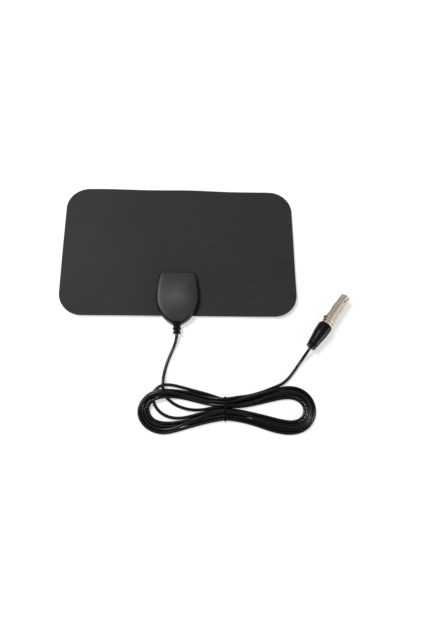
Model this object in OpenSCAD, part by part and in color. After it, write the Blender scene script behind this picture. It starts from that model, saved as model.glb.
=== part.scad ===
// Flat indoor television antenna: a laminated sheet with a foil aerial inside, a shield-shaped
// housing clamped over its lower edge, and a thin coaxial lead tied in a hank, with its aerial plug.
// The origin is the centre of the housing's flat underside. X runs along the sheet, Y up the sheet
// and Z away from the surface that the antenna lies on.

/* [Sheet] */
// Width of the sheet
sheet_w = 236; // [210:1:300]
// Height of the sheet
sheet_h = 140; // [120:1:180]
// Radius of the sheet's corners
sheet_corner_r = 23; // [12:1:30]
// How far the sheet's lower edge lies below the housing's centre
sheet_lap = 18; // [17:0.5:19]
// How far the sheet's middle lies to the right of the housing's
sheet_shift = 1.5; // [-5:0.5:5]
// Thickness of each of the two films
film_t = 0.3; // [0.2:0.05:0.4]

/* [Foil] */
// Thickness of the foil
foil_t = 0.1; // [0.05:0.05:0.2]
// Distance from the sheet's edge to the foil
foil_margin = 9; // [6:0.5:10]
// Width of the foil's band
foil_band = 16; // [14:0.5:24]
// Gap between the two foil halves
foil_gap = 5; // [3:0.5:8]

/* [Housing] */
// Greatest width of the housing
housing_w = 42; // [40:0.5:50]
// Width of the housing at its straight upper edge
housing_top_w = 34.4; // [33:0.5:37]
// Distance from the housing's centre to its upper edge
housing_top = 26.8; // [26:0.5:32]
// Distance from the housing's centre to the flat end where the cable leaves
housing_bottom = 26.5; // [26:0.5:29]
// Width of that flat end
housing_end_w = 9.4; // [9:0.2:11]
// Radius of the upper corners in plan
housing_corner_r = 2.6; // [2.2:0.1:4]
// Thickness of the rear cover
rear_t = 2; // [1.8:0.1:2.6]
// Height of the upright side wall above the resting surface
side_h = 6.8; // [6.6:0.1:8]
// Radius of the front cover's rounded rim
rim_r = 2; // [1.8:0.1:2.4]
// Rise of the front cover's dome above its rim
dome_rise = 1; // [0.4:0.1:2]
// Wall thickness of the front cover
wall_t = 1.5; // [1.2:0.1:1.8]

/* [Cover screws] */
// Radius of the screws' shanks
screw_r = 0.95; // [0.8:0.05:1.1]
// Length of the screws below their heads
screw_len = 5.5; // [5:0.1:5.6]
// Radius of the screw heads
screw_head_r = 1.9; // [1.6:0.05:2.0]
// Thickness of the screw heads
screw_head_t = 1; // [0.8:0.05:1.1]
// Radius of the screw bosses in the front cover
boss_r = 2.2; // [2:0.05:2.4]

/* [Circuit board] */
// Width of the board
board_w = 28; // [26:0.5:30]
// Length of the board along the sheet's height
board_len = 22; // [20:0.5:23]
// Thickness of the board
board_t = 0.8; // [0.6:0.05:0.85]
// Distance from the middle to each contact rivet
rivet_x = 9.5; // [9:0.25:11]
// Radius of the rivets' shanks
rivet_r = 0.9; // [0.7:0.05:1]
// Radius of the rivets' heads
rivet_head_r = 1.7; // [1.4:0.05:2]
// Thickness of the rivets' heads
rivet_head_t = 0.5; // [0.4:0.05:0.6]

/* [Balun] */
// Radius of the ring core's centre line
core_ring_r = 3.4; // [3:0.1:3.8]
// Radius of the ring core's round section
core_r = 1.2; // [1:0.05:1.3]
// Radius of the winding's wire
wire_r = 0.2; // [0.15:0.01:0.22]
// Turns of wire round the core
winding_turns = 9; // [6:1:11]

/* [Cable] */
// Diameter of the coaxial cable
cable_d = 3; // [2.6:0.1:3]
// Diameter of the cable's inner insulation
dielectric_d = 1.9; // [1.5:0.05:1.9]
// Diameter of the cable's centre wire
core_wire_d = 0.7; // [0.5:0.05:0.8]

/* [Strain relief] */
// Visible length of the strain relief
relief_len = 9.8; // [9:0.2:11]
// Radius of the first lobe, next to the housing
relief_r = 4.4; // [4.2:0.05:4.4]
// How much smaller each further lobe is
relief_step = 0.2; // [0.1:0.05:0.25]
// Depth of the grooves between the lobes
relief_groove = 0.95; // [0.7:0.05:1.1]
// Height of the cable's axis above the resting surface
relief_z = 4.5; // [4.4:0.05:4.6]
// Half the width of the neck that passes through the housing's wall
neck_r = 2.3; // [2.1:0.05:2.4]
// Width of the anchor plate behind the wall
anchor_w = 8; // [7:0.2:8.2]

/* [Hank] */
// Distance between the middles of the hank's two loops
hank_span = 120; // [110:1:135]
// Outer radius of the loops
loop_r = 22; // [20:0.5:24]
// Width of the bundle at the tie
waist_w = 21; // [18:0.5:23]
// Width of the bundle round the loops
bundle_w = 12.6; // [11.5:0.1:14]
// Height of the hank
hank_h = 7; // [6:0.5:9]
// Width of the tie
tie_w = 1.4; // [1:0.1:2]
// Thickness of the tie
tie_t = 1; // [0.8:0.1:1.4]

/* [Plug] */
// Length of the moulded boot
boot_len = 27.9; // [27:0.1:30]
// Greatest radius of the boot
boot_r = 7.1; // [6.6:0.1:7.6]
// Radius of the boot at the cable
boot_tail_r = 4.8; // [4.4:0.1:5.2]
// Radius of the plug's sleeve, half of the standard 9.5 mm
sleeve_r = 4.76; // [4.7:0.02:4.8]
// Wall thickness of the sleeve
sleeve_t = 0.6; // [0.5:0.05:0.7]
// Length of the sleeve in front of the shell
sleeve_len = 10.8; // [10:0.1:12]
// Slots cut into the sleeve's end
sleeve_slots = 4; // [2:1:6]
// Width of those slots
slot_w = 0.8; // [0.5:0.1:1]
// Length of those slots
slot_len = 9; // [7:0.5:9.5]
// Radius of the shell between the sleeve and the collar
shell_r = 5.2; // [5.1:0.05:5.4]
// Radius of the collar's thickest ring
collar_r = 5.65; // [5.5:0.05:5.8]
// Length of the shell's windows
window_len = 7.2; // [6:0.2:7.4]
// Height of the shell's windows
window_h = 4; // [3:0.2:4.6]
// Radius of the centre pin
pin_r = 1.2; // [1.1:0.05:1.25]

/* [Fits] */
// Clearance between moulded or turned pieces that seat in each other
fit = 0.1; // [0.05:0.05:0.15]
// Clearance round a shank in its hole, and round the cable in its bores
bore_fit = 0.05; // [0.03:0.01:0.1]

/* [Hidden] */

$fn = 64;
eps = 0.01;

// Heights of the layers, from the resting surface up
sheet_t = 2 * film_t + foil_t;
foil_z = rear_t + film_t;
sheet_z = rear_t + sheet_t;
board_z = sheet_z + board_t;
rim_z = side_h + rim_r;

// The housing's outline: one long arc up each side, a tighter one down to the cable's end
half_w = housing_w / 2;
upper_r = arc_radius((housing_w - housing_top_w) / 2, housing_top);
lower_r = arc_radius((housing_w - housing_end_w) / 2, housing_bottom);
arc_steps = 12;
dome_y = (housing_top - housing_bottom) / 2;
dome_half_len = (housing_top + housing_bottom) / 2;

// Places on the sheet and in the housing
sheet_y = sheet_h / 2 - sheet_lap;
rivet_y = foil_margin + foil_band / 2 - sheet_lap;
board_y = -2;
balun_y = 2.6;
balun_z = board_z + core_r + 2 * wire_r + 2 * bore_fit;
top_boss = [housing_top_w / 2 - 5, housing_top - 7.3];
end_boss_y = -sheet_lap - 2 * fit - boss_r;
end_boss = [lower_half_w(end_boss_y) - wall_t - boss_r - 0.9, end_boss_y];
screw_seat_z = screw_head_t + 0.1;
pilot_top = screw_seat_z + screw_len + 0.3;

// Places along the cable's stripped end, from the jacket's cut to the centre wire's pad
jacket_end_y = -15;
insulation_end_y = -10;
core_pad_y = -7;
braid_r = 0.4;
relief_end_y = -housing_bottom - relief_len;
anchor_top = side_h - wall_t / 2 + 0.3;
cable_r = cable_d / 2;

// The hank and its tie
hank_at = [48.5, -108.7];
tie_x = 46.2;
loop_steps = 16;
side_steps = 14;

// The plug lies on its boot, with its axis level
plug_at = [129.4, -49.7, boot_r];
plug_turn = 53.3;
plug_way = [cos(plug_turn), sin(plug_turn), 0];
shell_start = boot_len + fit;
collar_len = 9.5;
shell_len = 26;
shell_end = shell_start + shell_len;
plug_len = shell_end + sleeve_len;
sleeve_in = 9;
seat_r = sleeve_r - 0.2;
tail_start = 16;
tail_r = 2.5;
ferrule_t = 0.7;
ferrule_len = 10;
pin_start = shell_start + 13;
pin_setback = 1;
insulator_start = shell_start + 5;
insulator_len = 19;
tab_start = insulator_start + 0.6;
tab_len = 2.2;
tab_w = 1.8;
tab_rise = 0.9;

// Route of the cable from the strain relief to the hank
lead_route = [[0, relief_end_y, relief_z], [0, relief_end_y - 4, relief_z], [-1.2, -46, 3.2],
    [-3.4, -51, 2], [-6, -56.5, 1.5], [-8.4, -62.5, 1.5], [-10.2, -69, 1.5], [-11.4, -75.5, 1.5],
    [-11.8, -81.5, 1.5], [-11.8, hank_at.y + loop_r + fit, 1.5]];
// Route of the cable from the hank to the plug
plug_route = [[101, hank_edge_y(101) + 2 * fit, 1.5], [101, -83, 1.5], [103.6, -78.3, 1.5],
    [107.6, -74, 1.6], [111.6, -69.2, 2.2], [115.8, -64.2, 3.5], [120.2, -59.4, 5.2],
    [124.4, -55.2, 6.6], plug_at - 4 * plug_way, plug_at - eps * plug_way];

// Radius of an arc that moves in by dx over a length of dy
function arc_radius(dx, dy) = (dx * dx + dy * dy) / (2 * dx);

// Half the housing's width at a height y below its centre
function lower_half_w(y) = half_w - lower_r + sqrt(lower_r * lower_r - y * y);

// Points on an arc
function arc(centre, r, from, to, steps) =
    [for (i = [0:steps]) let (a = from + (to - from) * i / steps) centre + r * [cos(a), sin(a)]];

// Right half of the housing's outline, moved in by d, from its end up to its upper edge
function half_outline(d) =
    let (c1 = [half_w - lower_r, 0], r1 = lower_r - d,
        c2 = [half_w - upper_r, 0], r2 = upper_r - d,
        rc = max(housing_corner_r - d, 0.4),
        cy = housing_top - d - rc,
        cc = [c2.x + sqrt(pow(r2 - rc, 2) - cy * cy), cy],
        a1 = asin((housing_bottom - d) / r1),
        a2 = atan2(cy, cc.x - c2.x))
    concat(arc(c1, r1, -a1, 0, arc_steps),
        [for (i = [1:4]) c2 + r2 * [cos(a2 * i / 5), sin(a2 * i / 5)]],
        arc(cc, rc, a2, 90, 4));

// The whole outline, moved in by d
function outline(d) =
    let (right = half_outline(d), n = len(right))
    concat(right, [for (i = [n - 1:-1:0]) [-right[i].x, right[i].y]]);

// How far the dome lifts the front cover over a point, most in the middle and nothing at the ends
function dome(p) =
    dome_rise * (1 - pow(p.x / half_w, 2)) * (1 - pow((p.y - dome_y) / dome_half_len, 2));

// One ring of a loft: the outline moved in by d and shrunk by s towards the centre, at height z
// and with a share of the dome's lift
function ring(d, z, s = 1, lift = 0) = [for (p = outline(d)) [p.x * s, p.y * s, z + lift * dome(p * s)]];

// Rings of the front cover's skin, t inside its outer face
function skin(t, z0) =
    let (top = rim_z - t, steps = t == 0 ? 6 : 3, r = rim_r - t / 2)
    concat([ring(t, z0)],
        [for (i = [0:steps]) let (a = 90 * i / steps)
            ring(t + r * (1 - cos(a)), top - r + r * sin(a), 1, sin(a))],
        [for (s = [0.85, 0.65, 0.45, 0.25, 0.1]) ring(t + r, top, s, 1)]);

// A closed solid through rings that all have the same number of points
module loft(rings) {
    n = len(rings[0]);
    m = len(rings);
    low = [for (i = [n - 1:-1:0]) i];
    high = [for (i = [0:n - 1]) (m - 1) * n + i];
    sides = [for (k = [0:m - 2], i = [0:n - 1])
        let (a = k * n + i, b = k * n + (i + 1) % n) each [[a, b, b + n], [a, b + n, a + n]]];
    faces = concat([low, high], sides);
    polyhedron([for (r = rings) each r], [for (f = faces) [for (i = [len(f) - 1:-1:0]) f[i]]]);
}

// A round tube swept along a route that stays close to level
module swept(route, r, sides = 8) {
    last = len(route) - 1;
    rings = [for (i = [0:last])
        let (t = route[min(i + 1, last)] - route[max(i - 1, 0)],
            along = t / norm(t),
            side = cross(along, [0, 0, 1]) / norm(cross(along, [0, 0, 1])),
            up = cross(side, along))
        [for (k = [0:sides - 1]) let (a = 360 * k / sides)
            route[i] + r * (cos(a) * side + sin(a) * up)]];
    loft([for (i = [last:-1:0]) rings[i]]);
}

module rounded_rect(w, h, r) {
    square([w, h - 2 * r], center = true);
    square([w - 2 * r, h], center = true);
    for (x = [-1, 1], y = [-1, 1])
        translate([x * (w / 2 - r), y * (h / 2 - r)]) circle(r);
}

module shield(d = 0) {
    polygon(outline(d));
}

module at_screws() {
    for (side = [-1, 1], p = [top_boss, end_boss])
        translate([side * p.x, p.y]) children();
}

module at_rivets() {
    for (side = [-1, 1])
        translate([side * rivet_x, rivet_y]) children();
}

// Holes through the sheet for the two upper screws and the two rivets
module sheet_holes() {
    for (side = [-1, 1])
        translate([side * top_boss.x, top_boss.y]) circle(screw_r + 4 * fit, $fn = 32);
    at_rivets() circle(rivet_r + bore_fit, $fn = 32);
}

module sheet_outline() {
    difference() {
        translate([sheet_shift, sheet_y]) rounded_rect(sheet_w, sheet_h, sheet_corner_r);
        sheet_holes();
    }
}

// One half of the foil: a band round the sheet's edge that stops short of the middle. The foil's
// pocket in the film is this same outline with some room round it
module foil_outline(side, room = 0) {
    band_w = sheet_w - 2 * foil_margin;
    band_h = sheet_h - 2 * foil_margin;
    outer_r = sheet_corner_r - foil_margin;
    difference() {
        translate([sheet_shift, sheet_y]) difference() {
            rounded_rect(band_w + 2 * room, band_h + 2 * room, outer_r + room);
            rounded_rect(band_w - 2 * foil_band - 2 * room, band_h - 2 * foil_band - 2 * room, 4 - room);
        }
        translate([side > 0 ? -sheet_w : -foil_gap / 2 + room, -sheet_h])
            square([sheet_w + foil_gap / 2 - room, 3 * sheet_h]);
        if (room == 0) at_rivets() circle(rivet_r + bore_fit, $fn = 32);
    }
}

module foil(side) {
    color("silver") translate([0, 0, foil_z]) linear_extrude(foil_t) foil_outline(side);
}

module left_foil() {
    foil(-1);
}

module right_foil() {
    foil(1);
}

module back_film() {
    color([0.13, 0.13, 0.14]) translate([0, 0, rear_t]) linear_extrude(film_t) sheet_outline();
}

module front_film() {
    color([0.2, 0.2, 0.21]) difference() {
        translate([0, 0, foil_z]) linear_extrude(film_t + foil_t) sheet_outline();
        for (side = [-1, 1])
            translate([0, 0, foil_z - eps]) linear_extrude(foil_t + eps) foil_outline(side, fit);
    }
}

// The U-shaped way through the housing's end wall, open towards the rear cover
module neck_outline(grow, low) {
    circle(neck_r + grow, $fn = 48);
    translate([-neck_r - grow, low - relief_z]) square([2 * (neck_r + grow), relief_z - low]);
}

module front_cover() {
    boss_top = rim_z - wall_t / 2;
    color([0.2, 0.2, 0.21]) difference() {
        union() {
            difference() {
                loft(skin(0, rear_t));
                loft(skin(wall_t, rear_t - 1));
            }
            at_screws() translate([0, 0, rear_t]) cylinder(r = boss_r, h = boss_top - rear_t);
        }
        // room for the sheet, which stops short of the two lower bosses
        translate([-housing_w, -sheet_lap - fit, rear_t - 1])
            cube([2 * housing_w, 2 * housing_top + sheet_lap, sheet_t + 1]);
        at_screws() translate([0, 0, rear_t - 1])
            cylinder(r = screw_r + bore_fit, h = pilot_top - rear_t + 1, $fn = 32);
        translate([0, -housing_bottom + wall_t + 0.5, relief_z]) rotate([90, 0, 0])
            linear_extrude(wall_t + 1) neck_outline(fit, rear_t - 1);
    }
}

module rear_cover() {
    foot_h = 0.4;
    foot_inset = 0.5;
    color([0.16, 0.16, 0.17]) difference() {
        union() {
            linear_extrude(foot_h) shield(foot_inset);
            translate([0, 0, foot_h]) linear_extrude(rear_t - foot_h) shield();
        }
        at_screws() translate([0, 0, -1]) {
            cylinder(r = screw_head_r + fit, h = screw_seat_z + 1);
            cylinder(r = screw_r + 2 * fit, h = rear_t + 2, $fn = 32);
        }
        at_rivets() translate([0, 0, rear_t - rivet_head_t - fit])
            cylinder(r = rivet_head_r + 2 * fit, h = rivet_head_t + 1, $fn = 48);
    }
}

module cover_screws() {
    recess_w = 0.5;
    recess_l = 2.2;
    recess_d = 0.55;
    color("dimgray") at_screws() difference() {
        union() {
            translate([0, 0, screw_seat_z - screw_head_t]) cylinder(r = screw_head_r, h = screw_head_t);
            translate([0, 0, screw_seat_z - eps]) cylinder(r = screw_r, h = screw_len + eps, $fn = 32);
        }
        for (turn = [0, 90])
            rotate(turn) translate([-recess_l / 2, -recess_w / 2, -1])
                cube([recess_l, recess_w, recess_d + 1 + screw_seat_z - screw_head_t]);
    }
}

module circuit_board() {
    color("darkgreen") translate([0, 0, sheet_z]) linear_extrude(board_t) difference() {
        translate([0, board_y]) rounded_rect(board_w, board_len, 1.5);
        at_rivets() circle(rivet_r + bore_fit, $fn = 32);
    }
}

module contact_rivets() {
    eyelet_r = rivet_r / 2;
    color("gold") at_rivets() difference() {
        union() {
            translate([0, 0, rear_t - rivet_head_t]) cylinder(r = rivet_head_r, h = rivet_head_t, $fn = 48);
            translate([0, 0, rear_t - eps]) cylinder(r = rivet_r, h = board_z - rear_t + 2 * eps, $fn = 32);
            translate([0, 0, board_z]) cylinder(r = rivet_head_r, h = rivet_head_t, $fn = 48);
        }
        cylinder(r = eyelet_r, h = board_z + 1, $fn = 32);
    }
}

module balun_core() {
    color([0.28, 0.26, 0.25]) translate([0, balun_y, balun_z])
        rotate_extrude() translate([core_ring_r, 0]) circle(core_r, $fn = 32);
}

// Wire wound round the ring core, open towards the cable, with both ends led down to the board
module balun_winding() {
    turn_steps = 12;
    open_a = 50;
    lap_r = core_r + wire_r + bore_fit;
    steps = winding_turns * turn_steps;
    coil = [for (i = [0:steps])
        let (a = -90 + open_a / 2 + (360 - open_a) * i / steps,
            b = -90 + 360 * i / turn_steps,
            d = core_ring_r + lap_r * cos(b))
        [d * cos(a), balun_y + d * sin(a), balun_z + lap_r * sin(b)]];
    rings = [for (i = [0:steps])
        let (t = coil[min(i + 1, steps)] - coil[max(i - 1, 0)],
            along = t / norm(t),
            a = -90 + open_a / 2 + (360 - open_a) * i / steps,
            middle = [core_ring_r * cos(a), balun_y + core_ring_r * sin(a), balun_z],
            out = (coil[i] - middle) / norm(coil[i] - middle),
            side = cross(along, out) / norm(cross(along, out)))
        [for (k = [0:5]) coil[i] + wire_r * (cos(60 * k) * side + sin(60 * k) * cross(side, along))]];
    color("peru") loft([for (i = [steps:-1:0]) rings[i]]);
}

// Moulded on the cable: an anchor plate and a neck held by the covers, then three shrinking lobes
module strain_relief() {
    lobes = 3;
    pitch = relief_len / (lobes - 0.65);
    flex_slot_w = 0.8;
    flex_slot_h = 3.6;
    steps = 36;
    first_crest = 0.2;
    profile = [for (i = [0:steps])
        let (t = relief_len * i / steps, wave = 1 - cos(360 * (t / pitch - first_crest)))
        [relief_r - relief_step * t / pitch - relief_groove * wave / 2, t]];
    color([0.07, 0.07, 0.07]) difference() {
        union() {
            translate([0, -housing_bottom - fit, relief_z]) rotate([90, 0, 0])
                rotate_extrude() polygon(concat([[0, 0]], profile, [[0, relief_len - fit]]));
            translate([0, -housing_bottom + wall_t + fit + eps, relief_z]) rotate([90, 0, 0])
                linear_extrude(wall_t + 2 * fit + 2 * eps) neck_outline(0, rear_t + fit);
            translate([-anchor_w / 2, -housing_bottom + wall_t + fit, rear_t + fit])
                cube([anchor_w, wall_t, anchor_top - rear_t - fit]);
        }
        translate([0, -housing_bottom + 2 * wall_t + 1, relief_z]) rotate([90, 0, 0])
            cylinder(r = cable_r + bore_fit, h = relief_len + 2 * wall_t + 2, $fn = 48);
        // flex slots across the two grooves, from above and below
        for (k = [0, 1], side = [-1, 1])
            translate([0, -housing_bottom - pitch * (k + first_crest + 0.5) - fit, relief_z])
                translate([0, 0, side * (neck_r + flex_slot_h / 2 + 0.2)])
                    cube([2 * relief_r, flex_slot_w, flex_slot_h], center = true);
    }
}

module along_cable(from_y, to_y, d) {
    translate([0, from_y, relief_z]) rotate([to_y > from_y ? -90 : 90, 0, 0])
        cylinder(d = d, h = abs(to_y - from_y), $fn = 32);
}

module cable_end() {
    color([0.05, 0.05, 0.05]) along_cable(relief_end_y, jacket_end_y, cable_d);
}

module cable_insulation() {
    color("white") along_cable(jacket_end_y, insulation_end_y, dielectric_d);
}

// The centre wire runs out of its insulation and bends down to its pad
module core_wire() {
    core_r0 = core_wire_d / 2;
    color("orange") {
        along_cable(insulation_end_y, core_pad_y, core_wire_d);
        translate([0, core_pad_y, relief_z]) sphere(core_r0, $fn = 32);
        translate([0, core_pad_y, board_z]) cylinder(r = core_r0, h = relief_z - board_z, $fn = 32);
    }
}

// The cable's braid, twisted to one side and laid on its pad
module braid_tail() {
    start_x = dielectric_d / 2 + braid_r + bore_fit;
    tail_z = board_z + braid_r;
    color("silver") swept([[start_x, jacket_end_y, relief_z], [start_x, -14.2, relief_z],
        [2.1, -12.6, relief_z - 0.2], [3.4, -10.8, tail_z], [4.6, -9.6, tail_z],
        [5.6, -8.8, tail_z]], braid_r, 6);
}

module solder_joints() {
    color("lightgray") {
        translate([0, core_pad_y, board_z]) difference() {
            cylinder(r1 = 1.3, r2 = 0.6, h = 0.6, $fn = 32);
            translate([0, 0, -1]) cylinder(d = core_wire_d + 2 * bore_fit, h = 3, $fn = 32);
        }
        translate([6.7, -7.9, board_z]) cylinder(r1 = 1.2, r2 = 0.6, h = 0.8, $fn = 32);
    }
}

module lead_cable() {
    color([0.05, 0.05, 0.05]) swept(lead_route, cable_r);
}

module plug_cable() {
    color([0.05, 0.05, 0.05]) swept(plug_route, cable_r);
}

// Place along the hank, where u is 0 at the tie and -1 or 1 at the middle of a loop
function hank_x(u) = tie_x + abs(u) * (hank_at.x + sign(u) * hank_span / 2 - tie_x);

// Half the hank's width there: full at the loops, narrow at the tie
function hank_half(u) = waist_w / 2 + (loop_r - waist_w / 2) * (1 - cos(180 * u)) / 2;

// The hank's far edge, towards the sheet, in the right-hand half
function hank_edge_y(x) = hank_at.y + hank_half((x - tie_x) / (hank_x(1) - tie_x));

// Outline of the hank from u0 to u1, moved in by d, with a round end at each loop's middle
module hank_outline(u0, u1, d) {
    steps = round(side_steps * (u1 - u0));
    top = [for (i = [0:steps]) let (u = u0 + (u1 - u0) * i / steps)
        [hank_x(u), max(hank_half(u) - d, 0)]];
    right = u1 == 1 ? arc([hank_x(1), 0], loop_r - d, 90, -90, loop_steps) : [];
    bottom = [for (i = [steps:-1:0]) [top[i].x, -top[i].y]];
    left = u0 == -1 ? arc([hank_x(-1), 0], loop_r - d, 270, 90, loop_steps) : [];
    translate([0, hank_at.y]) polygon(concat(top, right, bottom, left));
}

module cable_hank() {
    // where the two halves of the bundle part on each side of the tie
    part_u = acos(1 - 2 * (bundle_w - waist_w / 2) / (loop_r - waist_w / 2)) / 180;
    color([0.05, 0.05, 0.05]) difference() {
        linear_extrude(hank_h) difference() {
            hank_outline(-1, 1, 0);
            hank_outline(-1, -part_u, bundle_w);
            hank_outline(part_u, 1, bundle_w);
        }
        // the cords rise over the tie that passes below them
        translate([tie_x - tie_w / 2 - fit, hank_at.y - waist_w, -1])
            cube([tie_w + 2 * fit, 2 * waist_w, tie_t + fit + 1]);
    }
}

module cable_tie() {
    color([0.03, 0.03, 0.03]) translate([tie_x - tie_w / 2, hank_at.y, 0]) rotate([90, 0, 90])
        linear_extrude(tie_w) difference() {
            translate([0, (hank_h + tie_t) / 2])
                rounded_rect(waist_w + 2 * tie_t + 2 * fit, hank_h + tie_t, tie_t);
            translate([-waist_w / 2 - fit, tie_t]) square([waist_w + 2 * fit, hank_h - tie_t]);
        }
}

// Places a piece that is drawn along +Z, from the boot's tail at 0 to the tip
module on_plug() {
    translate(plug_at) rotate([0, 90, plug_turn]) children();
}

module plug_boot() {
    tail_len = 2.5;
    shoulder = boot_len - 10.5;
    color([0.05, 0.05, 0.05]) on_plug() difference() {
        rotate_extrude() polygon([[0, 0], [boot_tail_r - 0.3, 0], [boot_tail_r, 0.3],
            [boot_tail_r, tail_len - 0.3], [boot_tail_r - 0.4, tail_len],
            [boot_tail_r - 0.4, tail_len + 0.5], [boot_tail_r + 0.3, tail_len + 1],
            [boot_tail_r + 0.9, shoulder * 0.55], [boot_r - 0.5, shoulder - 1.5],
            [boot_r - 0.25, shoulder], [boot_r, boot_len - 3.5], [boot_r, boot_len - 2],
            [boot_r - 0.25, boot_len - 1.1], [boot_r - 0.8, boot_len - 0.35],
            [boot_r - 1.5, boot_len], [0, boot_len]]);
        translate([0, 0, -1]) cylinder(r = cable_r + bore_fit, h = boot_len, $fn = 48);
        translate([0, 0, tail_start])
            cylinder(r = tail_r + ferrule_t + 2 * bore_fit, h = boot_len, $fn = 48);
    }
}

module crimp_ferrule() {
    color("silver") on_plug() translate([0, 0, tail_start + fit]) difference() {
        cylinder(r = tail_r + ferrule_t + bore_fit, h = ferrule_len, $fn = 48);
        translate([0, 0, -1]) cylinder(r = tail_r + bore_fit, h = ferrule_len + 2, $fn = 48);
    }
}

module plug_cable_end() {
    color([0.05, 0.05, 0.05]) on_plug() cylinder(d = cable_d, h = tail_start + 4, $fn = 48);
}

module plug_insulation() {
    color("white") on_plug() translate([0, 0, tail_start + 4])
        cylinder(d = dielectric_d, h = pin_start - tail_start - 4, $fn = 32);
}

// Turned shell: a tail inside the ferrule, a ringed collar against the boot, and a plain barrel
module plug_shell() {
    ring1 = shell_start + 1.2;
    ring2 = shell_start + 3.6;
    ring3 = shell_start + 6.6;
    barrel = shell_start + collar_len;
    bore_r = seat_r + bore_fit;
    window_z = barrel + 2.4;
    color([0.8, 0.76, 0.68]) on_plug() difference() {
        rotate_extrude() polygon([[0, tail_start + 1], [tail_r, tail_start + 1], [tail_r, shell_start],
            [collar_r - 0.5, shell_start], [collar_r - 0.15, shell_start + 0.3],
            [collar_r - 0.15, ring1 + 0.8], [collar_r - 0.8, ring1 + 1.2],
            [collar_r - 0.8, ring2 - 0.6], [collar_r, ring2 - 0.3], [collar_r, ring2 + 1.5],
            [collar_r - 0.6, ring2 + 1.9], [collar_r - 0.6, ring3 - 0.4], [collar_r - 0.1, ring3],
            [collar_r - 0.1, barrel - 1], [shell_r, barrel], [shell_r, shell_end - 1.2],
            [shell_r - 0.3, shell_end], [0, shell_end]]);
        translate([0, 0, insulator_start - fit]) cylinder(r = bore_r, h = shell_len);
        cylinder(r = cable_r + bore_fit, h = shell_end, $fn = 48);
        // two windows that show the insulator's waist
        for (side = [-1, 1])
            translate([0, side * shell_r, window_z + window_len / 2])
                cube([window_h, shell_r, window_len], center = true);
        // slot for the insulator's locking tab
        translate([-tab_w / 2 - fit, shell_r / 2, tab_start - fit])
            cube([tab_w + 2 * fit, shell_r, tab_len + 2 * fit]);
    }
}

module contact_sleeve() {
    start = shell_end - sleeve_in;
    lead = 0.5;
    inner = sleeve_r - sleeve_t;
    color([0.82, 0.78, 0.7]) on_plug() difference() {
        rotate_extrude() polygon([[inner, start], [seat_r, start], [seat_r, shell_end],
            [sleeve_r, shell_end], [sleeve_r, plug_len - lead], [sleeve_r - 0.35, plug_len],
            [inner, plug_len]]);
        for (k = [0:sleeve_slots - 1])
            rotate(20 + 360 * k / sleeve_slots) translate([0, -slot_w / 2, plug_len - slot_len])
                cube([2 * sleeve_r, slot_w, slot_len + 1]);
    }
}

// Moulded insulator that holds the pin, with a locking tab that shows beside the collar
module plug_insulator() {
    body_r = sleeve_r - sleeve_t - bore_fit;
    sleeve_start = shell_end - sleeve_in;
    color([0.08, 0.08, 0.08]) on_plug() difference() {
        union() {
            translate([0, 0, insulator_start]) {
                cylinder(r = seat_r, h = sleeve_start - insulator_start - fit);
                cylinder(r = body_r, h = insulator_len);
            }
            translate([-tab_w / 2, seat_r / 2, tab_start])
                cube([tab_w, collar_r + tab_rise - seat_r / 2, tab_len]);
        }
        translate([0, 0, insulator_start - 1])
            cylinder(r = pin_r + bore_fit, h = insulator_len + 2, $fn = 48);
    }
}

module centre_pin() {
    shaft = plug_len - pin_setback - pin_start;
    color("gold") on_plug() translate([0, 0, pin_start])
        rotate_extrude() polygon([[0, 0], [pin_r, 0], [pin_r, shaft - 1.2], [pin_r - 0.2, shaft - 0.5],
            [pin_r - 0.6, shaft], [0, shaft]], $fn = 48);
}

front_cover();
rear_cover();
cover_screws();
front_film();
back_film();
left_foil();
right_foil();
circuit_board();
contact_rivets();
balun_core();
balun_winding();
strain_relief();
cable_end();
cable_insulation();
core_wire();
braid_tail();
solder_joints();
lead_cable();
cable_hank();
cable_tie();
plug_cable();
plug_boot();
crimp_ferrule();
plug_cable_end();
plug_insulation();
plug_shell();
contact_sleeve();
plug_insulator();
centre_pin();
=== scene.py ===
import math

import bmesh
import bpy
import numpy as np
from mathutils import Matrix, Vector


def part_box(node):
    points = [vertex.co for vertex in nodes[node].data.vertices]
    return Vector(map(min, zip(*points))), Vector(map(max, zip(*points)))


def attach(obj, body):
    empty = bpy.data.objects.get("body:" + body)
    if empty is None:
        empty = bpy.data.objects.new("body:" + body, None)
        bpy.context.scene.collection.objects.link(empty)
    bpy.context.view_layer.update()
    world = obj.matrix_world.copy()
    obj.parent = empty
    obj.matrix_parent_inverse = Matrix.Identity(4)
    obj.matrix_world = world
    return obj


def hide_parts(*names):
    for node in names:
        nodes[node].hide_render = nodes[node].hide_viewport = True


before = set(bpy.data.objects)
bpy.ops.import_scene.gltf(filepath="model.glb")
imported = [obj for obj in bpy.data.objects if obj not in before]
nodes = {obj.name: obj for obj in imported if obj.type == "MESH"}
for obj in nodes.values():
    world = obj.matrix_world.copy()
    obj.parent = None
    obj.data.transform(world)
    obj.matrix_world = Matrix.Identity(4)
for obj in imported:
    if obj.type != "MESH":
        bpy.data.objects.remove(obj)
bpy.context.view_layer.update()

# The rear cover is a flat shield of moulded black ABS with a finely spark-eroded face. It lies on
# the table under the sheet, and four cross-head screws of blackened steel go up through it into
# bosses of the front cover.


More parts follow.
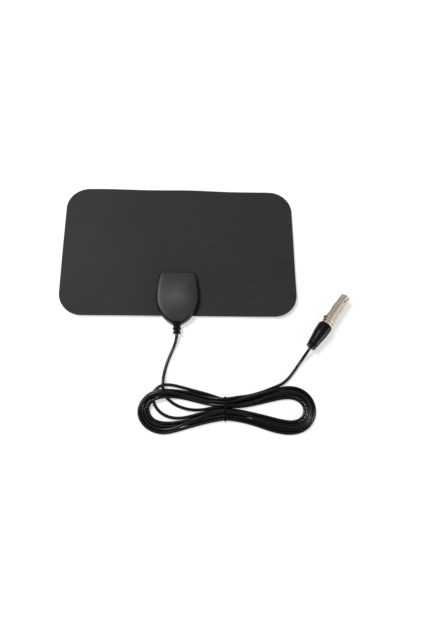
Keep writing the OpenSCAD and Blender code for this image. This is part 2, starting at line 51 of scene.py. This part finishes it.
class Wire:
    """A socket in a material's tree. Arithmetic on it adds Math nodes, and add() any other node."""

    def __init__(self, tree, socket=None):
        self.tree, self.socket = tree, socket

    def add(self, kind, settings=None, inputs=None, out=0):
        """Adds a node with its settings made first, joins or sets its inputs, gives one output."""
        node = self.tree.nodes.new("ShaderNode" + kind)
        for name, value in (settings or {}).items():
            if name == "stops":
                stops = node.color_ramp.elements
                while len(stops) < len(value):
                    stops.new(1)
                for stop, (place, colour) in zip(stops, value):
                    stop.position, stop.color = place, colour
            else:
                setattr(node, name, value)
        for name, value in (inputs or {}).items():
            if isinstance(value, Wire):
                self.tree.links.new(value.socket, node.inputs[name])
            else:
                node.inputs[name].default_value = value
        return Wire(self.tree, node.outputs[out])

    def math(self, operation, a, b=0.0):
        return self.add("Math", {"operation": operation}, {0: a, 1: b})

    def __add__(self, other):
        return self.math("ADD", self, other)

    def __radd__(self, other):
        return self.math("ADD", other, self)

    def __sub__(self, other):
        return self.math("SUBTRACT", self, other)

    def __rsub__(self, other):
        return self.math("SUBTRACT", other, self)

    def __mul__(self, other):
        return self.math("MULTIPLY", self, other)

    def __rmul__(self, other):
        return self.math("MULTIPLY", other, self)

    def __truediv__(self, other):
        return self.math("DIVIDE", self, other)

    def __rtruediv__(self, other):
        return self.math("DIVIDE", other, self)

    def noise(self, scale, detail=2.0):
        """Noise read at this vector, with cells of 1/scale metres."""
        return self.add("TexNoise", None, {"Vector": self, "Scale": scale, "Detail": detail})

    def stretched(self, x, y, z):
        """This vector scaled along each axis, so that a pattern on it is drawn out."""
        return self.add("Mapping", None, {"Vector": self, "Scale": (x, y, z)})

    def between(self, low, high):
        """The colour low where this value is 0, high where it is 1, and their mix between."""
        return self.add("Mix", {"data_type": "RGBA"}, {0: self, 6: low, 7: high}, out=2)

    def bumped(self, depth, strength=1.0):
        """A normal from this value as a height, depth metres from 0 to 1."""
        return self.add("Bump", None, {"Height": self, "Distance": depth, "Strength": strength})


def shade(red, green=None, blue=None):
    """A linear colour from the 0 to 255 levels that it shows; one number alone is a grey."""
    levels = [red, red if green is None else green, red if blue is None else blue]
    return (*[((v / 255 + 0.055) / 1.055) ** 2.4 if v > 10 else v / 255 / 12.92 for v in levels], 1)


def new_finish(name, metallic=0.0, specular=0.5):
    """A material with its shader, and the object's own coordinates to draw patterns on."""
    material = bpy.data.materials.new(name)
    material.use_nodes = True
    tree = material.node_tree
    shader = tree.nodes["Principled BSDF"]
    shader.inputs["Metallic"].default_value = metallic
    shader.inputs["Specular IOR Level"].default_value = specular
    return material, shader, Wire(tree).add("TexCoord", out=3)


def drive(shader, **wires):
    """Joins each wire to the shader's socket of that name; an underscore stands for a space."""
    for name, wire in wires.items():
        wire.tree.links.new(wire.socket, shader.inputs[name.replace("_", " ")])


def moulded(name, dark, light, rough, grain, depth, specular=0.5):
    """Moulded plastic: two close shades clouded together, and a texture of fine grains."""
    material, shader, place = new_finish(name, specular=specular)
    clouds, grains = place.noise(55, 4), place.noise(grain, 3)
    drive(
        shader,
        Base_Color=(clouds * 0.55 + grains * 0.45).between(shade(*dark), shade(*light)),
        Roughness=rough - 0.06 + clouds * 0.12,
        Normal=grains.bumped(depth),
    )
    return material


def paint(node, material):
    """Gives a CAD node its material."""
    slots = nodes[node].data.materials
    for k in range(len(slots)):
        slots[k] = material


def show(name, bm, material, smooth_below=40):
    """Makes the bmesh a piece of the object, smooth but for the edges sharper than that angle."""
    for edge in bm.edges:
        edge.smooth = len(edge.link_faces) == 2 and edge.calc_face_angle() < math.radians(smooth_below)
    for face in bm.faces:
        face.smooth = True
    mesh = bpy.data.meshes.new(name)
    bm.to_mesh(mesh)
    bm.free()
    mesh.materials.append(material)
    piece = bpy.data.objects.new(name, mesh)
    bpy.context.scene.collection.objects.link(piece)
    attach(piece, "root")
    return piece


def merged(node):
    """A bmesh copy of a CAD node with its loose triangles joined up."""
    bm = bmesh.new()
    bm.from_mesh(nodes[node].data)
    bmesh.ops.remove_doubles(bm, verts=bm.verts, dist=2e-6)
    return bm


def softened(name, node, material, edge, smooth_below=40):
    """A CAD node's shape with its sharp edges rounded by that radius, in place of the node."""
    piece = show(name, merged(node), material, smooth_below)
    bevel = piece.modifiers.new("edges", "BEVEL")
    bevel.width, bevel.segments = edge, 2
    bevel.limit_method, bevel.angle_limit = "ANGLE", math.radians(smooth_below)
    bevel.harden_normals = True
    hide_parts(node)
    return piece


abs_grain = 2600
abs_black = moulded("abs_black", (30, 30, 31), (40, 40, 42), 0.46, abs_grain, 0.00002)
softened("rear_cover_moulding", "rear_cover", abs_black, 0.00025)
blackened, shader, place = new_finish("blackened_steel", metallic=1.0)
drive(
    shader,
    Base_Color=place.noise(900, 3).between(shade(58), shade(88, 86, 82)),
    Roughness=0.3 + place.noise(400) * 0.2,
)
softened("cross_head_screws", "cover_screws", blackened, 0.0001)

# The aerial sheet is two PET films laminated over a pair of etched foil halves. The front film is
# matt charcoal with a very fine lengthwise grain, the back film is smooth black, and the whole
# sheet is flexible, so away from the housing its edges and corners stand a little up or down.
sheet_low, sheet_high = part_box("front_film")
grip = Vector((0.021, 0.027, 0))
bend_reach = 0.050
right_from, low_from, top_from = 0.045, 0.030, 0.060
corner_rise, wave_rise, sag_depth = 0.0024, 0.0005, 0.0006
wave_length, sag_length, sag_width = 0.085, 0.210, 0.180


def sheet_lift(x, y):
    """How far the limp sheet stands off its own plane, nothing where the housing grips it."""
    beyond = math.hypot(max(abs(x) - grip.x, 0), max(y - grip.y, 0)) / bend_reach
    free = min(beyond, 1) ** 2 * (3 - 2 * min(beyond, 1))
    right = max(x - right_from, 0) / (sheet_high.x - right_from)
    low = max(low_from - y, 0) / (low_from - sheet_low.y)
    top = max(y - top_from, 0) / (sheet_high.y - top_from)
    corner = corner_rise * right**2 * low
    wave = wave_rise * top * math.sin((x + 0.010) * math.tau / wave_length)
    across, along = math.cos(x * math.tau / sag_length), math.cos((y - 0.050) * math.tau / sag_width)
    sag = sag_depth * across * along
    return free * (corner + wave - sag)


def curled(name, node, material):
    """A layer of the sheet, cut finely enough to take the sheet's bends, in place of its node."""
    bm = merged(node)
    bmesh.ops.dissolve_limit(bm, angle_limit=0.01, verts=bm.verts, edges=bm.edges)
    cell = 0.006
    for axis in (0, 1):
        start, end = sheet_low[axis], sheet_high[axis]
        for k in range(1, int((end - start) / cell)):
            at, across = Vector((0, 0, 0)), Vector((0, 0, 0))
            at[axis], across[axis] = start + k * cell, 1
            everything = [*bm.verts, *bm.edges, *bm.faces]
            bmesh.ops.bisect_plane(bm, geom=everything, dist=1e-7, plane_co=at, plane_no=across)
    for vertex in bm.verts:
        vertex.co.z += sheet_lift(vertex.co.x, vertex.co.y)
    bmesh.ops.triangulate(bm, faces=[f for f in bm.faces if len(f.verts) > 4])
    piece = show(name, bm, material)
    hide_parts(node)
    return piece


film, shader, place = new_finish("matt_film", specular=0.12)
streaks = place.stretched(1, 16, 1).noise(70, 5)
threads = place.stretched(1, 9, 1).noise(420, 2)
clouds = place.noise(9, 2)
tone = streaks * 0.5 + clouds * 0.35 + threads * 0.15
drive(
    shader,
    Base_Color=tone.between(shade(25, 25, 27), shade(59, 59, 62)),
    Roughness=0.55 + streaks * 0.12,
    Normal=(threads * 0.6 + streaks * 0.4).bumped(0.000016),
)
curled("front_film_sheet", "front_film", film)

back, shader, place = new_finish("smooth_film", specular=0.5)
scuffs = place.stretched(2, 9, 1).noise(60, 4)
drive(
    shader,
    Base_Color=scuffs.between(shade(20, 20, 21), shade(30, 30, 32)),
    Roughness=0.3 + scuffs * 0.16,
    Normal=place.noise(1500, 2).bumped(0.000008),
)
curled("back_film_sheet", "back_film", back)

foil, shader, place = new_finish("etched_foil", metallic=1.0)
drive(
    shader,
    Base_Color=place.noise(300, 3).between(shade(176, 178, 182), shade(208, 209, 212)),
    Roughness=0.28 + place.stretched(1, 20, 1).noise(200) * 0.16,
)
for side in ("left", "right"):
    curled(side + "_foil_sheet", side + "_foil", foil)

# The housing holds a small glass-fibre board with a ring-core balun wound in enamelled wire. Two
# rivets press the board to the foils, and the lead's stripped end is soldered beside them: braid,
# foamed white insulation and a bare copper core.
hidden_finishes = {
    "circuit_board": ((22, 66, 44), (32, 84, 56), 0.0, 0.35, 700),
    "contact_rivets": ((186, 164, 112), (206, 186, 136), 1.0, 0.25, 900),
    "balun_core": ((52, 49, 47), (70, 66, 62), 0.0, 0.6, 1500),
    "balun_winding": ((150, 84, 44), (184, 110, 62), 1.0, 0.22, 1200),
    "core_wire": ((184, 108, 70), (212, 136, 94), 1.0, 0.2, 1200),
    "braid_tail": ((150, 150, 152), (196, 196, 198), 1.0, 0.35, 2400),
    "solder_joints": ((168, 170, 172), (200, 201, 203), 1.0, 0.24, 1100),
    "cable_insulation": ((222, 222, 216), (238, 238, 233), 0.0, 0.45, 1500),
    "plug_insulation": ((222, 222, 216), (238, 238, 233), 0.0, 0.45, 1500),
    "crimp_ferrule": ((164, 160, 150), (196, 191, 180), 1.0, 0.3, 800),
    "cable_end": ((22, 22, 22), (32, 32, 32), 0.0, 0.4, 1200),
}
for node, (dark, light, metallic, rough, grain) in hidden_finishes.items():
    material, shader, place = new_finish(node + "_finish", metallic=metallic)
    grains = place.noise(grain, 3)
    drive(
        shader,
        Base_Color=grains.between(shade(*dark), shade(*light)),
        Roughness=rough - 0.05 + grains * 0.1,
        Normal=grains.bumped(0.00001),
    )
    paint(node, material)

# The front cover is the shield-shaped moulding that shows: black ABS like the rear cover, a shade
# sheenier, a rounded rim and a low dome. It clamps down on the sheet, and the board, the screw
# bosses and the cable's anchor are inside it.
# The crown is the top of the dome. The front cover's base colour carries a painted highlight round it: a
# paler patch that fades out over a set reach from the crown.
crown = (-0.0002, 0.0006, 0.0095)
painted_highlight_r = 0.017


def facing(place, way):
    """How far the surface faces that way: 1 straight at it, 0 across it and less on the far side."""
    normal = place.add("NewGeometry", out=1)
    return normal.add("VectorMath", {"operation": "DOT_PRODUCT"}, {0: normal, 1: way}, out=1)


abs_front, shader, place = new_finish("abs_front", specular=0.16)
clouds, grains = place.noise(55, 4), place.noise(abs_grain, 3)
off_crown = place.add("VectorMath", {"operation": "DISTANCE"}, {0: place, 1: crown}, out=1)
painted_highlight = 1 - off_crown / painted_highlight_r
tone = clouds * 0.3 + grains * 0.3 + painted_highlight.math("MAXIMUM", painted_highlight, 0.0) * 0.5
# The base colour paints shade on the steep walls, near black where they face sideways. Over the top it
# paints a highlight round the crown on top of the moulding's own clouded tone.
drive(
    shader,
    Base_Color=(4 * facing(place, (0, 0, 1)) - 3).between(
        shade(8), tone.between(shade(16), shade(84, 84, 87))
    ),
    Roughness=0.3 + clouds * 0.1,
    Normal=grains.bumped(0.000018),
)
softened("front_cover_moulding", "front_cover", abs_front, 0.00025, smooth_below=32)

# The strain relief is soft black PVC moulded on the cable: three shrinking lobes with slots that
# let it flex, and an anchor plate that the two covers hold.
soft_pvc = moulded("soft_pvc", (9, 9, 9), (16, 16, 17), 0.4, 1900, 0.00002, specular=0.16)
softened("strain_relief_moulding", "strain_relief", soft_pvc, 0.00015)

# The lead is a thin 75 ohm coaxial cable, 3 mm across with a satin black PVC jacket. It is wound
# into a flat hank of five turns that is tied at its waist. The first run goes in over one strand and
# under the rest, and the last comes out from under the outermost one and goes on into the boot.
cord_d = 0.003
cord_r = cord_d / 2
step = cord_d / 2
hank_at = Vector((0.0485, -0.1087, 0))
hank_span = 0.1225
hank_drop = 0.0006
loop_r = 0.0226
waist_w = 0.021
tie_x = 0.0462
tie_w, tie_t = 0.002, 0.0008
tie_climb = 0.0042

# Routes in millimetres: from the strain relief into the hank and on round its first turn, which
# cuts a corner under the others, and from the hank to the boot
lead_route = [
    (0, -36.3, 4.5), (0, -40.3, 4.5), (-1.2, -46, 3.2), (-3.4, -51, 2), (-6, -56.5, 1.5),
    (-8.4, -62.5, 1.5), (-10.2, -69, 1.5), (-11.4, -75.5, 2.2), (-11.9, -81.5, 3.8), (-11.6, -86.6, 4.7),
    (-11, -90.6, 3.6), (-9.9, -94.5, 2), (-8.1, -98, 1.5), (-5, -101.4, 1.5), (-1, -104.2, 1.5),
    (4.8, -107, 1.5), (13.6, -109.4, 1.5), (25.1, -110, 1.5), (36.8, -108.4, 1.5), (46.2, -106, 1.5),
    (55.7, -106.3, 1.5), (66.9, -105.4, 1.5), (78, -102.7, 1.5), (89.1, -99.8, 1.5), (100.2, -97.6, 1.5),
    (109.7, -97.4, 1.5), (116.2, -98.8, 1.5), (120.8, -103.2, 1.5), (122.7, -109.3, 1.5),
    (121.2, -115.5, 1.5), (116.6, -120, 1.5), (109.7, -121.2, 1.5), (100.2, -120, 1.5),
    (89.1, -117.3, 1.5), (78, -114.6, 1.5), (66.9, -111.8, 1.5), (55.7, -109.8, 1.5),
    (46.2, -109, 1.5), (35.9, -110.2, 1.5), (25.6, -112.2, 1.5), (18.5, -114.3, 1.5),
    (12.1, -116, 1.5), (5.5, -117.1, 1.5), (0, -117.4, 1.5), (-5.3, -116.7, 1.5),
    (-10.2, -114.6, 1.5), (-14.4, -111.6, 1.5), (-17.6, -108.2, 1.5), (-20.6, -104.4, 1.5),
    (-23, -100.8, 1.5), (-24.4, -97, 1.5), (-23.7, -93.2, 1.5), (-21, -90, 1.5), (-16.8, -87.8, 1.5),
    (-11.6, -86.6, 1.5), (-6, -86.4, 1.5), (1.1, -87.2, 1.5), (7.8, -89, 1.5), (16.5, -92.4, 1.5),
    (26, -96.2, 1.5), (35.5, -99.2, 1.5),
]
plug_route = [
    (86.6, -92.5, 1.5), (92.4, -91.2, 1.5), (97, -89.6, 1.5), (100.4, -86.9, 1.5),
    (103.8, -83.2, 1.5), (107.6, -78.8, 1.5), (111.6, -74, 1.8), (115.4, -69, 2.8),
    (119, -64.2, 4.2), (122.2, -59.9, 5.7), (124.9, -56, 6.7), (127, -52.9, 7.1),
    (129.4, -49.7, 7.1), (133.4, -44.3, 7.1), (137.4, -39, 7.1), (141.35, -33.7, 7.1),
]
# Stations go clockwise round the hank, and 0 is the top of its waist. For each later turn, how many
# millimetres its strand lies inside the hank's outline at each station, and the layer that it lies in
stations = 12
right_end, low_waist, left_end = 3, 6, 9
turns = [
    ([1.6, 4.5, 4.5, 4.5, 4.7, 4.6, 4.5, 4.3, 5.3, 5.0, 9.1, 4.8],
     [0, 0, 0, 0, 0, 0, 0, 0, 0, 0.6, 1, 0]),
    ([4.6, 7.6, 7.6, 7.4, 7.8, 7.7, 7.5, 7.2, 8.3, 7.9, 11.7, 8.0],
     [0, 0, 0, 0, 0, 0, 0, 0, 0, 0.6, 1, 0.2]),
    ([7.8, 7.6, 6.0, 6.0, 6.4, 7.4, 8.6, 6.2, 3.8, 4.4, 8.1, 6.2],
     [1, 1, 1, 1, 1, 1, 1, 1, 1, 1.5, 2, 1]),
    ([4.8, 1.9, 1.5, 1.5, 1.5, 1.5, 1.5, 1.5, 1.5, 1.5, 6.3, 3.2],
     [1, 1, 1, 0.2, 0, 0, 0, 0, 0, 0.6, 1, 1]),
]
last_run = ([1.7, 2.4], [1, 0])


def through(points, per):
    """A smooth curve through the points, with that many steps between one and the next."""
    p = np.array([2 * points[0] - points[1], *points, 2 * points[-1] - points[-2]])
    t = (np.arange(per) / per)[:, None]
    spans = []
    for a, b, c, d in zip(p[:-3], p[1:-2], p[2:-1], p[3:]):
        bend = (2 * a - 5 * b + 4 * c - d) * t**2 + (3 * b - a - 3 * c + d) * t**3
        spans.append(b + ((c - a) * t + bend) / 2)
    return np.vstack([*spans, p[-2:-1]])


def evenly(points):
    """The same line with a point at every step of its length."""
    along = np.r_[0, np.cumsum(np.linalg.norm(np.diff(points, axis=0), axis=1))]
    marks = np.linspace(0, along[-1], round(along[-1] / step) + 1)
    return np.stack([np.interp(marks, along, points[:, k]) for k in range(3)], 1)


def on_hank(station, inset):
    """A point that far inside the hank's outline; the stations go once round it, from the waist."""
    station %= stations
    for middle, turned, side in ((right_end, 0, 1), (left_end, 180, -1)):
        if abs(station - middle) < 1:
            turn = math.radians(90 * (middle - station) + turned)
            reach = loop_r - inset
            centre_x, centre_y = hank_at.x + side * hank_span / 2, hank_at.y - side * hank_drop
            return centre_x + reach * math.cos(turn), centre_y + reach * math.sin(turn)
    up = -1 if right_end < station < left_end else 1
    if station < right_end:
        past_waist = station
    elif station < left_end:
        past_waist = low_waist - station
    else:
        past_waist = station - stations
    share = past_waist / 2
    end_x = hank_at.x + math.copysign(hank_span / 2, share)
    half = waist_w / 2 + (loop_r - waist_w / 2) * (1 - math.cos(math.pi * share)) / 2
    middle_y = hank_at.y - hank_drop * share
    return tie_x + abs(share) * (end_x - tie_x), middle_y + up * (half - inset)


def as_wound():
    """The lead before it settles: the route in, the later turns, and the route out."""
    insets = [inset / 1000 for row, _ in turns for inset in row] + [i / 1000 for i in last_run[0]]
    layers = [layer for _, row in turns for layer in row] + last_run[1]
    per_station, per_leg, fairings = 8, 10, 12
    dense = through([np.array(pair) for pair in zip(insets, layers)], per_station)
    loop = [
        (*on_hank(k / per_station, inset), cord_r + cord_d * max(layer, 0))
        for k, (inset, layer) in enumerate(dense)
    ]
    way_in, way_out = [
        through([np.array(p) / 1000 for p in route], per_leg) for route in (lead_route, plug_route)
    ]
    line = evenly(np.vstack([way_in, loop[1:], way_out]))
    for _ in range(fairings):
        line[1:-1] += ((line[:-2] + line[2:]) / 2 - line[1:-1]) / 2
    return evenly(line)


def settled(line, rounds=400):
    """Lays the strands down: their weight and stiffness, the tie, the table and one another."""
    plan, count = line.copy(), len(line)
    in_relief, in_boot, give = 3, 17, 20
    order = np.arange(count)
    free = np.clip(np.minimum(order - in_relief, count - in_boot - order) / give, 0, 1)[:, None]
    apart, neighbours = cord_d * 1.004, 5
    fall, first_pull, last_pull = 0.00006, 0.07, 0.02
    low, side = cord_r + tie_t, waist_w / 2 - cord_r
    for turn in range(rounds):
        pull = first_pull - (first_pull - last_pull) * turn / rounds
        line[:, :2] += free * pull * (plan - line)[:, :2]
        line[:, 2] -= free[:, 0] * fall
        for m in (3, 1):
            sag = np.zeros_like(line)
            sag[m:-m] = (line[: -2 * m] + line[2 * m :]) / 2 - line[m:-m]
            bend = np.zeros_like(line)
            bend[2 * m : -2 * m] = sag[2 * m : -2 * m] - (sag[m : -3 * m] + sag[3 * m : -m]) / 2
            line += free * bend / 2
        if turn % 5 == 0:
            squares = (line**2).sum(1)
            between = squares[:, None] + squares[None] - 2 * line @ line.T
            first, second = np.where(between < (apart + step) ** 2)
            strands = second - first > neighbours
            first, second = first[strands], second[strands]
        for _ in range(5):
            way = line[second] - line[first]
            reach = np.linalg.norm(way, axis=1) + 1e-9
            sunk = np.clip(apart - reach, 0, None)
            push = way * (sunk / reach / 2)[:, None]
            touching = np.r_[first[sunk > 0], second[sunk > 0]]
            hits = np.bincount(touching, minlength=count).clip(1)
            moved = np.zeros_like(line)
            np.add.at(moved, second, push)
            np.add.at(moved, first, -push)
            line += free * moved / np.sqrt(hits)[:, None]
            for start in (0, 1):
                way = line[start + 1 :: 2] - line[start:-1:2]
                length = np.linalg.norm(way, axis=1)[:, None]
                pulled = way * (1 - step / length) / 2
                line[start:-1:2] += free[start:-1:2] * pulled
                line[start + 1 :: 2] -= free[start + 1 :: 2] * pulled
            lift = tie_t * np.exp(-(((line[:, 0] - tie_x) / tie_climb) ** 2))
            line[:, 2] = np.maximum(line[:, 2], cord_r + lift)
            tied = np.abs(line[:, 0] - tie_x) < tie_w
            line[tied, 2] = np.minimum(line[tied, 2], low + cord_d)
            line[tied, 1] = np.clip(line[tied, 1], hank_at.y - side, hank_at.y + side)
    return line


jacket = moulded("jacket", (3, 3, 3), (8, 8, 9), 0.3, 1500, 0.000006, specular=0.36)
lead_line = settled(as_wound())
lead_curve = bpy.data.curves.new("lead", "CURVE")
lead_curve.dimensions = "3D"
lead_curve.bevel_depth, lead_curve.bevel_resolution = cord_r, 8
lead_curve.use_fill_caps = True
spline = lead_curve.splines.new("POLY")
spline.points.add(len(lead_line) - 1)
spline.points.foreach_set("co", np.column_stack([lead_line, np.ones(len(lead_line))]).ravel())
lead_curve.materials.append(jacket)
lead = bpy.data.objects.new("lead", lead_curve)
bpy.context.scene.collection.objects.link(lead)
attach(lead, "root")
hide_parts("lead_cable", "cable_hank", "plug_cable", "plug_cable_end")

# The tie is a thin black band drawn tight round the hank's waist, so its outline is the strands'
# own: flat below and above, and rounded where the outer strands fill its ends.
at_tie = lead_line[np.abs(lead_line[:, 0] - tie_x) < tie_w]
round_tie = 72
bm = bmesh.new()
corners = []
for k in range(round_tie):
    turn = math.tau * k / round_tie
    out = np.array([0, math.cos(turn), math.sin(turn)])
    edge = at_tie[(at_tie @ out).argmax()] + out * (cord_r + tie_t)
    corners.append(bm.verts.new((tie_x - tie_w / 2, edge[1], max(edge[2], 0))))
for a, b in zip(corners, corners[1:] + corners[:1]):
    bm.edges.new((a, b))
band = bmesh.ops.extrude_edge_only(bm, edges=bm.edges)
across = [v for v in band["geom"] if isinstance(v, bmesh.types.BMVert)]
bmesh.ops.translate(bm, verts=across, vec=(tie_w, 0, 0))
bmesh.ops.remove_doubles(bm, verts=bm.verts, dist=1e-6)
bmesh.ops.recalc_face_normals(bm, faces=bm.faces)
tie_pvc = moulded("tie_pvc", (5, 5, 5), (10, 10, 10), 0.45, 1900, 0.00001, specular=0.1)
tie = show("tie_band", bm, tie_pvc)
wall = tie.modifiers.new("wall", "SOLIDIFY")
wall.thickness, wall.offset = tie_t * 0.9, -1
rounding = tie.modifiers.new("rounding", "BEVEL")
rounding.width, rounding.segments = 0.0003, 3
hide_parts("cable_tie")

# The plug is a standard 9.5 mm aerial plug. A soft black boot is pushed over the crimp, and it
# swells from a flanged tail to a full round front.
boot_rubber = moulded("boot_rubber", (8, 8, 8), (14, 14, 15), 0.34, 1600, 0.000015, specular=0.14)
boot = softened("boot_moulding", "plug_boot", boot_rubber, 0.0003)

# The shell and the slotted contact sleeve are turned brass with a warm nickel plating: ringed
# collar, plain barrel with two windows, and a sleeve that springs in the socket.
plug_at = Vector((0.1294, -0.0497, 0.0071))
plug_turn = math.radians(53.3)
nickel, shader, place = new_finish("warm_nickel", metallic=0.6)
middle = place.add("Mapping", None, {"Vector": place, "Location": -plug_at})
along = middle.add("Mapping", None, {"Vector": middle, "Rotation": (0, 0, -plug_turn)})
marks = along.stretched(1, 0.02, 0.02).noise(2600, 2)
stains = along.stretched(1, 2, 2).noise(240, 3)
# The plug metal's base colour has light and shade painted in. lit is how far each face turns towards the
# key lamp, and the ramp below turns that into shaded sides, painted highlights, and lighter and darker
# painted reflections along the turned parts. The stains only shift it a little.
lit = facing(place, (0.22, -0.17, 0.96)) + stains * 0.1 - 0.05
painted_light_bands = [
    (0.0, shade(64, 51, 40)),
    (0.4, shade(150, 130, 110)),
    (0.7, shade(232, 214, 192)),
    (0.85, shade(188, 168, 147)),
    (0.93, shade(216, 198, 175)),
    (0.98, shade(255, 250, 242)),
]
drive(
    shader,
    Base_Color=lit.add("ValToRGB", {"stops": painted_light_bands}, {"Fac": lit}),
    Roughness=0.2 + stains * 0.1,
    Normal=marks.bumped(0.00001, 0.5),
)
shell = softened("shell_turning", "plug_shell", nickel, 0.00012)
sleeve = softened("sleeve_turning", "contact_sleeve", nickel, 0.0001)
pin = softened("pin_turning", "centre_pin", nickel, 0.0001)
black_nylon = moulded("black_nylon", (20, 20, 20), (30, 30, 30), 0.4, 1500, 0.00001)
insulator = softened("insulator_moulding", "plug_insulator", black_nylon, 0.0001)

# The camera stands where the photograph was taken from: in front of the lower edge, looking down
# steeply, and turned a little about its own axis.
camera_data = bpy.data.cameras.new("camera")
camera = bpy.data.objects.new("camera", camera_data)
bpy.context.scene.collection.objects.link(camera)
bpy.context.scene.camera = camera
camera.location = (0.00833, -0.17046, 0.48012)
aim = Vector((0.03294, -0.01641, 0)) - camera.location
roll = Matrix.Rotation(math.radians(9.26), 3, "Z").to_quaternion()
camera.rotation_mode = "QUATERNION"
camera.rotation_quaternion = aim.to_track_quat("-Z", "Y") @ roll
camera_data.sensor_fit = "VERTICAL"
camera_data.sensor_height = 36
camera_data.lens = 29.07
camera_data.clip_start = 0.01

# A plain white table, which shows white and keeps the object's soft shadow.
bm = bmesh.new()
bmesh.ops.create_grid(bm, x_segments=1, y_segments=1, size=4)
table_mesh = bpy.data.meshes.new("table")
bm.to_mesh(table_mesh)
bm.free()
table = bpy.data.objects.new("table", table_mesh)
bpy.context.scene.collection.objects.link(table)
paper = bpy.data.materials.new("paper")
paper.use_nodes = True
tree = paper.node_tree
tree.nodes.remove(tree.nodes["Principled BSDF"])
white = (1, 1, 1, 1)
rays = Wire(tree).add("LightPath").socket.node.outputs
seen = [Wire(tree, rays[ray]) for ray in ("Is Camera Ray", "Is Glossy Ray", "Is Transmission Ray")]
glow = seen[0].add("Emission", None, {"Color": white, "Strength": (seen[0] + seen[1] + seen[2]) * 0.5})
matt = glow.add("BsdfDiffuse", None, {"Color": shade(205)})
both = glow.add("AddShader", None, {0: glow, 1: matt})
tree.links.new(both.socket, tree.nodes["Material Output"].inputs["Surface"])
table_mesh.materials.append(paper)

# Soft studio light: a pale world, a large lamp at the upper left and a weak one opposite.
world = bpy.data.worlds.new("studio")
bpy.context.scene.world = world
world.use_nodes = True
backdrop = world.node_tree.nodes["Background"]
backdrop.inputs["Color"].default_value = white
backdrop.inputs["Strength"].default_value = 0.3
for name, place, size, power in (
    ("key_lamp", (-0.5, 0.36, 1.02), 0.4, 11),
    ("side_lamp", (1.1, -0.5, 0.32), 0.3, 6),
):
    lamp = bpy.data.lights.new(name, "AREA")
    lamp.shape, lamp.size, lamp.energy = "SQUARE", size, power
    stand = bpy.data.objects.new(name, lamp)
    bpy.context.scene.collection.objects.link(stand)
    stand.location = place
    stand.rotation_mode = "QUATERNION"
    stand.rotation_quaternion = (Vector((0.03, -0.02, 0)) - stand.location).to_track_quat("-Z", "Y")

bpy.context.scene.view_settings.view_transform = "Standard"
